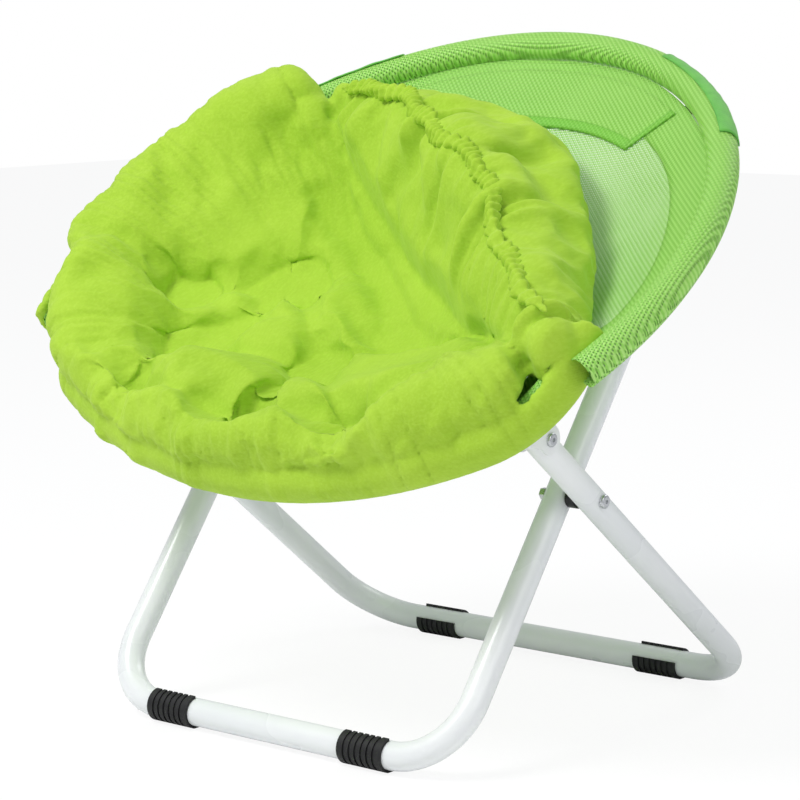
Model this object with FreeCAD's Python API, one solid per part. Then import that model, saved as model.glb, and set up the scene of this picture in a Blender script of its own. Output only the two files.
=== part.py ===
import FreeCAD, Part
import math
import os

# Folding saucer chair: two crossed U legs carry a round seat hoop.
# A see-through mesh hangs in the hoop, and a tufted cushion lies on the mesh, half peeled off.
# Millimetres. +X is the sitter's left side seen from the front, +Y the back, +Z up.
# The origin lies on the floor under the middle of the chair.

Vector = FreeCAD.Vector

# Steel tube of the legs and hoops
tube_radius = 12.5
tube_wall = 1.2

# Crossed legs, seen from the side: the cross bolt, and how far each floor bar lies from it
cross_y = -33.54
cross_height = 220.0
front_bar_reach = 155.3
rear_bar_reach = 253.5
front_leg_half_width = 198.5
leg_gap = 9.1
leg_corner_radius = 61.0

# Feet: ribbed clips on the floor bars
foot_wall = 2.5
foot_flat = 0.4
foot_length = 48.0
foot_rib_count = 7
foot_groove = 2.4
foot_groove_depth = 1.1
foot_slot_angle = 80.0
foot_slot_turn = 35.0
front_foot_bend_gap = 0.5
rear_foot_bend_gap = 13.6

# Rear half of the seat hoop: a circle arc in a leaning plane
hoop_radius = 326.3
hoop_lean = 34.2
hoop_centre_behind_cross = -11.4
hoop_centre_height = 414.8
hoop_joint_forward = 92.4
rear_hoop_overrun = 17.0

# Front half of the hoop: a flat arch that drops towards the knees
front_hoop_gap = 7.0
front_hoop_depth = 149.0
front_hoop_side_radius = 105.0
front_hoop_drop = 19.9
front_hoop_stub = 13.0

# Seat pivot: rear leg tops turn in brackets welded under the front hoop
seat_pivot_reach = 101.0
leg_top_overrun = 10.0
bracket_plate = 2.0
bracket_play = 0.8
bracket_tab_radius = 13.0
bracket_outer_knee_angle = 136.0
bracket_outer_knee_reach = 38.0
bracket_outer_knee_radius = 11.0
bracket_inner_knee_angle = 157.0
bracket_inner_knee_reach = 27.0
bracket_inner_knee_radius = 9.0
bracket_weld_radius = 10.0
bracket_web_angle = 150.0
bracket_web_distance = 26.0
bracket_web_width = 13.0

# Upper ends of the front legs, hooked up under the rear hoop
hook_turn = 60.0
hook_radius = 45.0

# Fasteners
bolt_radius = 3.0
bolt_running_clearance = 0.05
bolt_head_radius = 6.0
bolt_head_height = 3.2
bolt_head_rounding = 0.6
bolt_socket_radius = 1.8
head_play = 0.3
seat_play = 0.1
nut_radius = 5.5
nut_height = 5.0
thin_nut_height = 4.5
thread_end = 1.0
spacer_radius = 9.0
spacer_play = 0.3
joint_nut_height = 4.0
joint_washer_radius = 6.3
joint_washer_seat = 2.5

# Plastic plugs
plug_cap = 2.5
plug_stem = 6.0
plug_fit = 0.1
tip_clearance = 2.0

# Mesh seat
sleeve_gap = 0.3
sleeve_thickness = 1.2
sleeve_end_run = 12.0
front_sleeve_start = 26.0
joint_hole_play = 0.4
mesh_thickness = 1.0
mesh_rim_gap = 0.4
mesh_sag = 86.0
mesh_joint_blend = 45.0
mesh_joint_softness = 8.0
panel_gap = 0.8
panel_thickness = 1.0
panel_low_radius = 246.0
panel_rim_distance = 22.3
panel_half_angle = 39.0
panel_flare = 5.0
patch_start_angle = 33.0
patch_end_angle = 62.0
patch_thickness = 1.3
patch_low_angle = -22.0
patch_high_angle = 80.0

# Cushion: a padded disc that lies in the mesh as far as its fold, and is peeled back beyond
fold_angle = 53.5
fold_distance = 52.0
pad_gap = 0.9
pad_thickness = 57.0
pad_corner_softness = 26.0
pad_centre_across = -75.0
pad_centre_run = -20.0
pad_pole_share = 0.03
pad_pole_lift = 1.0
tuft_depth = 24.0
tuft_radius = 40.0
fold_gap = 0.6
fold_lift = 1.3
fold_start_inset = 44.3
fold_end_inset = 83.3
fold_station_count = 13
fold_points = 24
fold_foot_share = 0.12
fold_end_width = 36.0
fold_bulge = 84.0
fold_end_height = 44.0
fold_rise = 84.0
hem_radius = 6.0
hem_gap = 0.2
hem_ruffle = 1.2
hem_points = 16
pocket_thickness = 1.5
pocket_gap = 0.3
pocket_low = -150.0
pocket_high = 75.0
pocket_left_start = 148.0
pocket_right_end = -11.0
surface_steps = 72

# Small step at which a search for a curve stops
fine_step = 0.001

sides = {"left": -1.0, "right": 1.0}


def cut_all(shape, tools):
    for tool in tools:
        shape = shape.cut(tool)
    return shape


def save(name, shape):
    shape.exportStep("parts/" + name + ".step")
    print(name, "solids", len(shape.Solids), "valid", shape.isValid(), "volume", round(shape.Volume, 1))


def side_point(x, along, up):
    return Vector(x, cross_y + along, up)


def hoop_point(across, run, rise):
    # Point in the rear hoop's plane: across the chair, up its slope, and square to it
    lean = math.radians(hoop_lean)
    along = hoop_centre_behind_cross + run * math.cos(lean) - rise * math.sin(lean)
    up = hoop_centre_height + run * math.sin(lean) + rise * math.cos(lean)
    return side_point(across, along, up)


def hoop_vector(across, run, rise):
    return hoop_point(across, run, rise) - hoop_point(0.0, 0.0, 0.0)


def line(start, end):
    return Part.LineSegment(start, end).toShape()


def arc(start, middle, end):
    return Part.Arc(start, middle, end).toShape()


def sweep_ring(path, direction, outer_radius, inner_radius):
    # Round tube along a path of tangent lines and arcs
    start = path.OrderedVertexes[0].Point
    outer = Part.Wire(Part.makeCircle(outer_radius, start, direction))
    inner = Part.Wire(Part.makeCircle(inner_radius, start, direction))
    solid = path.makePipeShell([outer], True, False)
    return solid.cut(path.makePipeShell([inner], True, False))


def bolt_hole(x, centre, radius, reach):
    return Part.makeCylinder(radius, 2.0 * reach, Vector(x - reach, centre.y, centre.z), Vector(1, 0, 0))


# Places that follow from the sizes above: legs, feet, pivots and cloth

bar_height = tube_radius + foot_wall - foot_flat
rear_leg_half_width = front_leg_half_width + 2.0 * tube_radius + leg_gap
foot_reach = leg_corner_radius + foot_length / 2.0
front_foot_half_spacing = front_leg_half_width - foot_reach - front_foot_bend_gap
rear_foot_half_spacing = rear_leg_half_width - foot_reach - rear_foot_bend_gap
panel_high_radius = hoop_radius - panel_rim_distance
fold_start = fold_start_inset - hoop_radius
fold_end = hoop_radius - fold_end_inset
cross_point = side_point(0.0, 0.0, cross_height)
front_bar_point = side_point(0.0, -front_bar_reach, bar_height)
rear_bar_point = side_point(0.0, rear_bar_reach, bar_height)
front_leg_way = (cross_point - front_bar_point).normalize()
rear_leg_way = (cross_point - rear_bar_point).normalize()
seat_pivot = cross_point + rear_leg_way * seat_pivot_reach
joint_run = -hoop_joint_forward
joint_half_width = math.sqrt(hoop_radius ** 2 - hoop_joint_forward ** 2)
front_hoop_half_width = joint_half_width - 2.0 * tube_radius - front_hoop_gap
sleeve_radius = tube_radius + sleeve_gap + sleeve_thickness


def turned(way, degrees):
    return FreeCAD.Rotation(Vector(1, 0, 0), degrees).multVec(way)


def u_frame_path(half_width, bar, way, straight):
    # One U: a leg, a corner, the floor bar, a corner and the other leg, open at both ends
    bend = leg_corner_radius
    diagonal = bend * (1.0 - math.sqrt(0.5))
    edges = []
    out = Vector(half_width, 0, 0)
    inner = Vector(half_width - bend, 0, 0)
    mid = Vector(half_width - diagonal, 0, 0)
    edges.append(line(bar - out + way * straight, bar - out + way * bend))
    edges.append(arc(bar - out + way * bend, bar - mid + way * diagonal, bar - inner))
    edges.append(line(bar - inner, bar + inner))
    edges.append(arc(bar + inner, bar + mid + way * diagonal, bar + out + way * bend))
    edges.append(line(bar + out + way * bend, bar + out + way * straight))
    return edges


def hook_start():
    # How far up the front leg its hook starts, so that the tip points at the rear hoop's tube
    run = math.sqrt(hoop_radius ** 2 - front_leg_half_width ** 2)
    target = hoop_point(0.0, run, 0.0)
    turn = math.radians(hook_turn)
    normal = turned(front_leg_way, 90.0)
    bend = front_leg_way * (hook_radius * math.sin(turn)) + normal * (hook_radius * (1.0 - math.cos(turn)))
    tip_way = turned(front_leg_way, hook_turn)
    rest = target - cross_point - bend
    distance = (rest.y * tip_way.z - rest.z * tip_way.y) / math.sin(turn)
    return distance, bend, tip_way, target


hook_distance, hook_bend, hook_way, hook_target = hook_start()
hook_end = hook_target - hook_way * (sleeve_radius + tip_clearance + plug_cap)


def hook_edges(side):
    across = Vector(side * front_leg_half_width, 0, 0)
    start = cross_point + front_leg_way * hook_distance
    half = math.radians(hook_turn / 2.0)
    normal = turned(front_leg_way, 90.0)
    middle = start + front_leg_way * (hook_radius * math.sin(half))
    middle = middle + normal * (hook_radius * (1.0 - math.cos(half)))
    end = start + hook_bend
    return [arc(start + across, middle + across, end + across), line(end + across, hook_end + across)]


def leg_bolt_holes(half_width, centre, radius):
    return [bolt_hole(side * half_width, centre, radius, 2.0 * tube_radius) for side in sides.values()]


def front_leg_frame():
    straight = (cross_point - front_bar_point).Length + hook_distance
    edges = u_frame_path(front_leg_half_width, front_bar_point, front_leg_way, straight)
    left = hook_edges(-1.0)
    right = hook_edges(1.0)
    path = Part.Wire(Part.__sortEdges__([left[1], left[0]] + edges + right))
    frame = sweep_ring(path, hook_way, tube_radius, tube_radius - tube_wall)
    return cut_all(frame, leg_bolt_holes(front_leg_half_width, cross_point, bolt_radius))


def rear_leg_frame():
    straight = (seat_pivot - rear_bar_point).Length + leg_top_overrun
    path = Part.Wire(u_frame_path(rear_leg_half_width, rear_bar_point, rear_leg_way, straight))
    frame = sweep_ring(path, rear_leg_way, tube_radius, tube_radius - tube_wall)
    holes = leg_bolt_holes(rear_leg_half_width, cross_point, bolt_radius + bolt_running_clearance)
    holes = holes + leg_bolt_holes(rear_leg_half_width, seat_pivot, bolt_radius + bolt_running_clearance)
    return cut_all(frame, holes)


def foot_clip(x, bar, slot_way):
    # C clip with raised ribs, open along its slot and cut flat where it meets the floor
    start = Vector(x - foot_length / 2.0, bar.y, bar.z)
    outer_radius = tube_radius + foot_wall
    along = Vector(1, 0, 0)
    clip = Part.makeCylinder(outer_radius, foot_length, start, along)
    pitch = (foot_length - foot_groove) / foot_rib_count
    for number in range(1, foot_rib_count):
        place = start + along * (number * pitch)
        groove = Part.makeCylinder(outer_radius + foot_wall, foot_groove, place, along)
        core = Part.makeCylinder(outer_radius - foot_groove_depth, foot_groove, place, along)
        clip = clip.cut(groove.cut(core))
    clip = clip.cut(Part.makeCylinder(tube_radius, foot_length, start, along))
    slot = Part.makeCylinder(2.0 * outer_radius, foot_length, start, along, foot_slot_angle)
    slot.translate(Vector(0, 0, 0) - start)
    reference = slot.CenterOfMass
    turn = slot_way - math.degrees(math.atan2(reference.z, reference.y))
    slot.rotate(Vector(0, 0, 0), along, turn)
    slot.translate(start)
    clip = clip.cut(slot)
    floor = Part.makeBox(2.0 * foot_length, 4.0 * outer_radius, outer_radius)
    floor.translate(Vector(x - foot_length, bar.y - 2.0 * outer_radius, -outer_radius))
    return clip.cut(floor)


def end_plug(centre, way, radius):
    # Cap over the tube's end and a stem inside it; way points out of the tube
    cap = Part.makeCylinder(radius, plug_cap, centre, way)
    closed = [edge for edge in cap.Edges if edge.Closed]
    rim = [edge for edge in closed if edge.CenterOfMass.distanceToPoint(centre) > plug_cap / 2.0]
    cap = cap.makeFillet(plug_cap / 2.0, rim)
    stem = Part.makeCylinder(radius - tube_wall - plug_fit, plug_stem, centre - way * plug_stem, way)
    return cap.fuse(stem)


def dome_bolt(x, centre, side, length):
    # Button-head bolt along X; its head's seat is at x and its shank runs inwards
    seat = Vector(x, centre.y, centre.z)
    out = Vector(side, 0, 0)
    head = Part.makeCylinder(bolt_head_radius, bolt_head_height, seat, out)
    closed = [edge for edge in head.Edges if edge.Closed]
    rim = [edge for edge in closed if abs(edge.CenterOfMass.x - x) > bolt_head_height / 2.0]
    head = head.makeFillet(bolt_head_height * bolt_head_rounding, rim)
    socket_floor = seat + out * (bolt_head_height / 2.0)
    socket = Part.makeCylinder(bolt_socket_radius, bolt_head_height, socket_floor, out)
    shank = Part.makeCylinder(bolt_radius, length, seat, out * -1.0)
    return head.cut(socket).fuse(shank)


def hex_nut(x, centre, side, height):
    # Nut on the inner end of a bolt; x is its seat and it grows inwards
    points = []
    for number in range(7):
        angle = math.radians(60.0 * number)
        corner = Vector(0, math.cos(angle), math.sin(angle)) * nut_radius
        points.append(Vector(x, centre.y, centre.z) + corner)
    nut = Part.Face(Part.makePolygon(points)).extrude(Vector(-side * height, 0, 0))
    return nut.cut(bolt_hole(x, centre, bolt_radius, 2.0 * height))


def washer_between(first, second, centre, radius):
    # Round spacer with a bolt hole between two places across the chair
    start = Vector(min(first, second), centre.y, centre.z)
    disc = Part.makeCylinder(radius, abs(second - first), start, Vector(1, 0, 0))
    return disc.cut(bolt_hole(first, centre, bolt_radius, 2.0 * radius))


def rear_hoop_wire(start_degrees, end_degrees):
    middle = (start_degrees + end_degrees) / 2.0
    return Part.Wire([arc(on_hoop(start_degrees), on_hoop(middle), on_hoop(end_degrees))])


def on_hoop(degrees):
    angle = math.radians(degrees)
    return hoop_point(hoop_radius * math.cos(angle), hoop_radius * math.sin(angle), 0.0)


def hoop_tangent(degrees):
    angle = math.radians(degrees)
    return hoop_vector(-math.sin(angle), math.cos(angle), 0.0)


rear_hoop_start = -math.degrees(math.asin((hoop_joint_forward + rear_hoop_overrun) / hoop_radius))
sleeve_start = rear_hoop_start - math.degrees(sleeve_end_run / hoop_radius)
drop = math.radians(front_hoop_drop)
joint_point = hoop_point(0.0, joint_run, 0.0)
drop_way = hoop_vector(0.0, -math.cos(drop), -math.sin(drop))


def joint_holes(radius):
    reach = 3.0 * tube_radius
    place = joint_half_width - tube_radius
    return [bolt_hole(side * place, joint_point, radius, reach) for side in sides.values()]


def rear_hoop_tube(outer_radius, inner_radius, start):
    path = rear_hoop_wire(start, 180.0 - start)
    return sweep_ring(path, hoop_tangent(start), outer_radius, inner_radius)


def rear_hoop():
    tube = rear_hoop_tube(tube_radius, tube_radius - tube_wall, rear_hoop_start)
    return cut_all(tube, joint_holes(bolt_radius))


def arch_geometry():
    # Three-centred arch: side arcs that meet a flatter crown arc without a kink
    inset = front_hoop_half_width - front_hoop_side_radius
    rise = front_hoop_depth
    small = front_hoop_side_radius
    crown = (inset ** 2 + rise ** 2 - small ** 2) / (2.0 * (rise - small))
    turn = math.atan2(crown - rise, inset)
    return inset, small, crown, turn


def arch_point(across, depth):
    return joint_point + Vector(across, 0, 0) + drop_way * depth


def arch_depth(across, margin):
    # Depth below the joint line of a curve that runs a margin inside the front hoop's centre line
    inset, small, crown, turn = arch_geometry()
    width = abs(across)
    if width > inset + (small - margin) * math.cos(turn):
        return math.sqrt(max((small - margin) ** 2 - (width - inset) ** 2, 0.0))
    return math.sqrt((crown - margin) ** 2 - width ** 2) - (crown - front_hoop_depth)


def arch_edges(first):
    # Both side arcs, from an angle past their start, and the crown arc
    inset, small, crown, turn = arch_geometry()

    def place(side, angle):
        return arch_point(side * (inset + small * math.cos(angle)), small * math.sin(angle))
    middle = (first + turn) / 2.0
    left = arc(place(-1.0, first), place(-1.0, middle), place(-1.0, turn))
    crown_arc = arc(place(-1.0, turn), arch_point(0.0, front_hoop_depth), place(1.0, turn))
    right = arc(place(1.0, turn), place(1.0, middle), place(1.0, first))
    return [left, crown_arc, right]


def front_hoop_path():
    edges = []
    for side in sides.values():
        across = side * front_hoop_half_width
        edges.append(line(arch_point(across, -front_hoop_stub), arch_point(across, 0.0)))
    return Part.Wire(Part.__sortEdges__([edges[0]] + arch_edges(0.0) + [edges[1]]))


def front_hoop_core():
    path = front_hoop_path()
    start = path.OrderedVertexes[0].Point
    return path.makePipeShell([Part.Wire(Part.makeCircle(tube_radius, start, drop_way))], True, False)


def front_hoop():
    tube = sweep_ring(front_hoop_path(), drop_way, tube_radius, tube_radius - tube_wall)
    return cut_all(tube, joint_holes(bolt_radius))


def link_plate(x, first, first_radius, second, second_radius):
    # Flat plate with two round ends, in a plane square to X
    way = second - first
    length = way.Length
    way.normalize()
    lean = math.asin((first_radius - second_radius) / length)
    normal = turned(way, 90.0)
    up = normal * math.cos(lean) + way * math.sin(lean)
    down = normal * -math.cos(lean) + way * math.sin(lean)
    corners = [first + up * first_radius, second + up * second_radius]
    corners = corners + [second + down * second_radius, first + down * first_radius]
    outline = Part.makePolygon([Vector(x, point.y, point.z) for point in corners + corners[0:1]])
    plate = Part.Face(outline).extrude(Vector(bracket_plate, 0, 0))
    for centre, radius in ((first, first_radius), (second, second_radius)):
        disc = Part.makeCylinder(radius, bracket_plate, Vector(x, centre.y, centre.z), Vector(1, 0, 0))
        plate = plate.fuse(disc)
    return plate


def from_seat_pivot(angle, reach):
    return seat_pivot + turned(Vector(0, 1, 0), angle) * reach


bracket_inner_face = rear_leg_half_width - tube_radius - bracket_play - bracket_plate
bracket_outer_face = rear_leg_half_width + tube_radius + bracket_play + bracket_plate


def bracket_side_plate(side, inner_edge, knee, knee_radius):
    # One cheek: from the bolt to the hoop's tube, both straight and by way of a knee
    weld = arch_point(0.0, arch_depth(inner_edge + bracket_plate / 2.0, 0.0))
    start = min(side * inner_edge, side * (inner_edge + bracket_plate))
    plate = link_plate(start, seat_pivot, bracket_tab_radius, knee, knee_radius)
    plate = plate.fuse(link_plate(start, knee, knee_radius, weld, bracket_weld_radius))
    return plate.fuse(link_plate(start, seat_pivot, bracket_weld_radius, weld, bracket_weld_radius))


def seat_bracket(side):
    # Clevis under the front hoop: two cheeks and a web, coped to the hoop's tube
    inner_knee = from_seat_pivot(bracket_inner_knee_angle, bracket_inner_knee_reach)
    outer_knee = from_seat_pivot(bracket_outer_knee_angle, bracket_outer_knee_reach)
    body = bracket_side_plate(side, bracket_inner_face, inner_knee, bracket_inner_knee_radius)
    outer_edge = bracket_outer_face - bracket_plate
    body = body.fuse(bracket_side_plate(side, outer_edge, outer_knee, bracket_outer_knee_radius))
    web = Part.makeBox(outer_edge - bracket_inner_face, bracket_web_width, bracket_plate)
    web.translate(Vector(0, -bracket_web_width / 2.0, 0))
    web.rotate(Vector(0, 0, 0), Vector(1, 0, 0), bracket_web_angle - 90.0)
    place = from_seat_pivot(bracket_web_angle, bracket_web_distance)
    web.translate(Vector(min(side * bracket_inner_face, side * outer_edge), place.y, place.z))
    body = body.fuse(web)
    body = body.cut(bolt_hole(side * rear_leg_half_width, seat_pivot, bolt_radius, 2.0 * tube_radius))
    body = body.cut(front_hoop_core())
    return max(body.Solids, key=lambda solid: solid.Volume).removeSplitter()


def mesh_rear_sleeve():
    sleeve = rear_hoop_tube(sleeve_radius, tube_radius + sleeve_gap, sleeve_start)
    washer_room = joint_washer_radius + joint_hole_play
    tools = joint_holes(bolt_radius + joint_hole_play)
    for x in (-joint_half_width, joint_half_width - 2.0 * tube_radius):
        start = Vector(x, joint_point.y, joint_point.z)
        tools.append(Part.makeCylinder(washer_room, 2.0 * tube_radius, start, Vector(1, 0, 0)))
    return cut_all(sleeve, tools)


def arch_sleeve(inner_radius, thickness, start_depth):
    # Cloth tube round the front hoop, from a depth below the joint line on each side
    small = arch_geometry()[1]
    first = math.asin(start_depth / small)
    way = Vector(math.sin(first), 0, 0) + drop_way * math.cos(first)
    return sweep_ring(Part.Wire(arch_edges(first)), way, inner_radius + thickness, inner_radius)


def inside_hoop(across, run, margin):
    # Whether a place in plan on the hoop lies inside its centre line by a margin
    depth = (joint_run - run) / math.cos(drop)
    side_limit = front_hoop_half_width - margin
    if depth > 0.0:
        return abs(across) < side_limit and depth < arch_depth(across, margin)
    past_end = (-depth - front_hoop_stub - plug_cap) / mesh_joint_blend
    blend = min(max(past_end, 0.0), 1.0)
    blend = blend * blend * (3.0 - 2.0 * blend)
    circle = math.sqrt(max((hoop_radius - margin) ** 2 - run ** 2, 0.0))
    return abs(across) < side_limit + (circle - side_limit) * blend


def hoop_reach(angle, margin):
    # Distance from the middle of the hoop to a margin inside its centre line, and the height there
    low = 0.0
    high = hoop_radius
    while high - low > fine_step:
        radius = (low + high) / 2.0
        if inside_hoop(radius * math.cos(angle), radius * math.sin(angle), margin):
            low = radius
        else:
            high = radius
    return low


def rim_height(run):
    # Height of the hoop over the rear plane: level at the back, and dropping past the side joints
    forward = (joint_run - run) / mesh_joint_softness
    return -math.tan(drop) * mesh_joint_softness * math.log(1.0 + math.exp(forward))


def mesh_height(across, run):
    # Height of the hanging mesh's underside over the rear hoop's plane
    front_reach = -joint_run + front_hoop_depth * math.cos(drop)
    run_reach = hoop_radius if run > 0.0 else front_reach
    share = min(math.hypot(across / hoop_radius, run / run_reach), 1.0)
    return rim_height(run) * share ** 4 - mesh_sag * (1.0 - share ** 2)


def clamped_knots(count):
    # Even knots of a cubic curve that starts and ends on its first and last control points
    knots = [float(number) for number in range(count - 2)]
    return knots, [4] + [1] * (count - 4) + [4]


def skin(rows, is_round):
    # Smooth surface that follows a grid of control points; a round one closes on itself along each row
    knots, repeats = clamped_knots(len(rows))
    if is_round:
        row_knots = [float(number) for number in range(len(rows[0]) + 1)]
        row_repeats = [1] * len(row_knots)
    else:
        row_knots, row_repeats = clamped_knots(len(rows[0]))
    surface = Part.BSplineSurface()
    surface.buildFromPolesMultsKnots(rows, repeats, row_repeats, knots, row_knots, False, is_round, 3, 3)
    return surface


def sewn_solid(faces):
    shell = Part.Shell(faces)
    shell.sewShape()
    solid = Part.Solid(Part.Shell(shell.Faces))
    if solid.Volume < 0.0:
        solid.reverse()
    return solid


def end_disc(surface, place):
    return Part.Face(Part.Wire([surface.uIso(place).toShape()]))


def wrapped_solid(rings):
    # Smooth closed solid through rings of points, with a disc over its first and last ring
    surface = skin(rings, True)
    first, last = surface.bounds()[0:2]
    return sewn_solid([surface.toShape(), end_disc(surface, first), end_disc(surface, last)])


def sheet_solid(low_rows, high_rows, is_round):
    # Thin smooth sheet between two grids of points; a round one has small discs in its middle
    low = skin(low_rows, is_round)
    high = skin(high_rows, is_round)
    faces = [low.toShape(), high.toShape()]
    first, last, start, end = low.bounds()
    upper_first, upper_last, upper_start, upper_end = high.bounds()
    faces.append(Part.makeRuledSurface(low.uIso(last).toShape(), high.uIso(upper_last).toShape()))
    if is_round:
        faces.append(end_disc(low, first))
        faces.append(end_disc(high, upper_first))
        return sewn_solid(faces)
    faces.append(Part.makeRuledSurface(low.uIso(first).toShape(), high.uIso(upper_first).toShape()))
    faces.append(Part.makeRuledSurface(low.vIso(start).toShape(), high.vIso(upper_start).toShape()))
    faces.append(Part.makeRuledSurface(low.vIso(end).toShape(), high.vIso(upper_end).toShape()))
    return sewn_solid(faces)


def round_angles():
    return [2.0 * math.pi * number / surface_steps for number in range(surface_steps)]


def mesh_seat():
    # Bowl of mesh that hangs inside both halves of the hoop
    margin = sleeve_radius + mesh_rim_gap
    shares = [pad_pole_share, 0.2, 0.35, 0.5, 0.64, 0.77, 0.89, 1.0]

    def ring(share, lift):
        points = []
        for angle in round_angles():
            radius = hoop_reach(angle, margin) * share
            across = radius * math.cos(angle)
            run = radius * math.sin(angle)
            height = -mesh_sag if share == pad_pole_share else mesh_height(across, run)
            points.append(hoop_point(across, run, height + lift))
        return points
    low = [ring(share, 0.0) for share in shares]
    high = [ring(share, mesh_thickness) for share in shares]
    return sheet_solid(low, high, True)


def headrest_panel():
    # Second mesh layer at the top of the back, just over the seat mesh
    def row(radius_share, lift):
        points = []
        spread = panel_half_angle - panel_flare * (1.0 - radius_share)
        radius = panel_low_radius + (panel_high_radius - panel_low_radius) * radius_share
        for number in range(13):
            angle = math.radians(90.0 - spread + spread * number / 6.0)
            across = radius * math.cos(angle)
            run = radius * math.sin(angle)
            height = mesh_height(across, run) + mesh_thickness + panel_gap
            points.append(hoop_point(across, run, height + lift))
        return points
    shares = [0.0, 0.25, 0.5, 0.75, 1.0]
    low = [row(share, 0.0) for share in shares]
    high = [row(share, panel_thickness) for share in shares]
    return sheet_solid(low, high, False)


def cloth_section(centre, out, up, low_angle, high_angle, thickness):
    # Part of a ring over the sleeve: the section of cloth that wraps the hoop
    inner = sleeve_radius + pocket_gap
    outer = inner + thickness

    def place(radius, degrees):
        turn = math.radians(degrees)
        return centre + out * (radius * math.cos(turn)) + up * (radius * math.sin(turn))
    middle = (low_angle + high_angle) / 2.0
    edges = [arc(place(inner, low_angle), place(inner, middle), place(inner, high_angle))]
    edges.append(line(place(inner, high_angle), place(outer, high_angle)))
    edges.append(arc(place(outer, high_angle), place(outer, middle), place(outer, low_angle)))
    edges.append(line(place(outer, low_angle), place(inner, low_angle)))
    return Part.Wire(edges)


def hoop_cloth(start, end, low_angle, high_angle, thickness):
    # Cloth over the sleeve along part of the rear hoop
    out = hoop_vector(math.cos(math.radians(start)), math.sin(math.radians(start)), 0.0)
    up = hoop_vector(0.0, 0.0, 1.0)
    section = cloth_section(on_hoop(start), out, up, low_angle, high_angle, thickness)
    return Part.Face(section).revolve(hoop_point(0.0, 0.0, 0.0), up, end - start)


def arch_cloth(start_depth):
    # Cloth over the sleeve round the front hoop
    inset, small, crown, turn = arch_geometry()
    first = math.asin(start_depth / small)
    path = Part.Wire(arch_edges(first))
    centre = arch_point(-(inset + small * math.cos(first)), start_depth)
    out = Vector(-math.cos(first), 0, 0) + drop_way * math.sin(first)
    up = hoop_vector(0.0, -math.sin(drop), math.cos(drop))
    section = cloth_section(centre, out, up, pocket_low, pocket_high, pocket_thickness)
    return path.makePipeShell([section], True, False)


def mesh_patch(side):
    # Solid cloth over the outside of the rear hoop where a front leg's end supports it
    start = patch_start_angle if side > 0.0 else 180.0 - patch_end_angle
    end = start + patch_end_angle - patch_start_angle
    return hoop_cloth(start, end, patch_low_angle, patch_high_angle, patch_thickness)


fold_normal = (math.cos(math.radians(fold_angle)), math.sin(math.radians(fold_angle)))
tufts = [(-135.0, 30.0), (-25.0, -85.0), (-163.0, -94.0), (-153.0, -189.0), (-20.0, -190.0), (95.0, -180.0)]


def pad_base(across, run):
    return mesh_height(across, run) + mesh_thickness + pad_gap


def tuft_dip(across, run):
    # Depth of the stitched dimples at a place on the pad
    dip = 0.0
    for place in tufts:
        distance = math.hypot(across - place[0], run - place[1]) / tuft_radius
        dip = max(dip, math.exp(-distance * distance))
    return dip * tuft_depth


def pad_reach(angle):
    # Distance from the pad's middle to its edge, and how far that edge is the hoop's, from 0 to 1
    across_way = math.cos(angle)
    run_way = math.sin(angle)
    low = 0.0
    high = 2.0 * hoop_radius
    while high - low > fine_step:
        radius = (low + high) / 2.0
        if inside_hoop(pad_centre_across + radius * across_way, pad_centre_run + radius * run_way, 0.0):
            low = radius
        else:
            high = radius
    start = pad_centre_across * fold_normal[0] + pad_centre_run * fold_normal[1]
    slope = across_way * fold_normal[0] + run_way * fold_normal[1]
    to_fold = (fold_distance - start) / slope if slope > fine_step else 4.0 * hoop_radius
    hoop_weight = math.exp(-low / pad_corner_softness)
    fold_weight = math.exp(-min(to_fold, 4.0 * hoop_radius) / pad_corner_softness)
    reach = -pad_corner_softness * math.log(hoop_weight + fold_weight)
    return reach, hoop_weight / (hoop_weight + fold_weight)


def cushion_pad():
    # Padded disc on the mesh with stitched dimples; its edge rolls over the hoop
    # Each edge step: distance in from the hoop and height over it, then the same for the fold
    edge_steps = [
        (19.0, 3.5, 19.0, 0.0), (15.0, 12.0, 14.0, 0.0), (7.0, 18.2, 9.0, 1.0), (-4.0, 18.4, 4.0, 6.0),
        (-11.0, 18.0, 1.0, 14.0), (-14.5, 27.0, 0.0, 26.0), (-12.0, 41.0, 2.0, 40.0),
        (-2.0, 53.0, 9.0, 51.0), (14.0, 58.0, 20.0, 57.0)]
    inner_shares = [pad_pole_share] + [0.1 * step for step in range(2, 11)]
    edge_inset = 32.0
    angles = round_angles()
    reaches = [pad_reach(angle) for angle in angles]

    def place(angle, radius):
        return pad_centre_across + radius * math.cos(angle), pad_centre_run + radius * math.sin(angle)

    def inner_ring(share, is_top):
        points = []
        for angle, (reach, hoop_part) in zip(angles, reaches):
            across, run = place(angle, (reach - edge_inset) * share)
            level = (pad_centre_across, pad_centre_run) if share == pad_pole_share else (across, run)
            height = pad_base(level[0], level[1]) + (pad_pole_lift if share == pad_pole_share else 0.0)
            if is_top:
                height = height + pad_thickness - tuft_dip(level[0], level[1])
            points.append(hoop_point(across, run, height))
        return points

    def edge_ring(step):
        points = []
        for angle, (reach, hoop_part) in zip(angles, reaches):
            inward = step[0] * hoop_part + step[2] * (1.0 - hoop_part)
            across, run = place(angle, reach - inward)
            over_hoop = rim_height(run) + step[1]
            over_mesh = pad_base(across, run) + step[3]
            points.append(hoop_point(across, run, over_hoop * hoop_part + over_mesh * (1.0 - hoop_part)))
        return points
    rings = [inner_ring(share, False) for share in inner_shares]
    rings = rings + [edge_ring(step) for step in edge_steps]
    rings = rings + [inner_ring(share, True) for share in reversed(inner_shares)]
    return wrapped_solid(rings)


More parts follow.
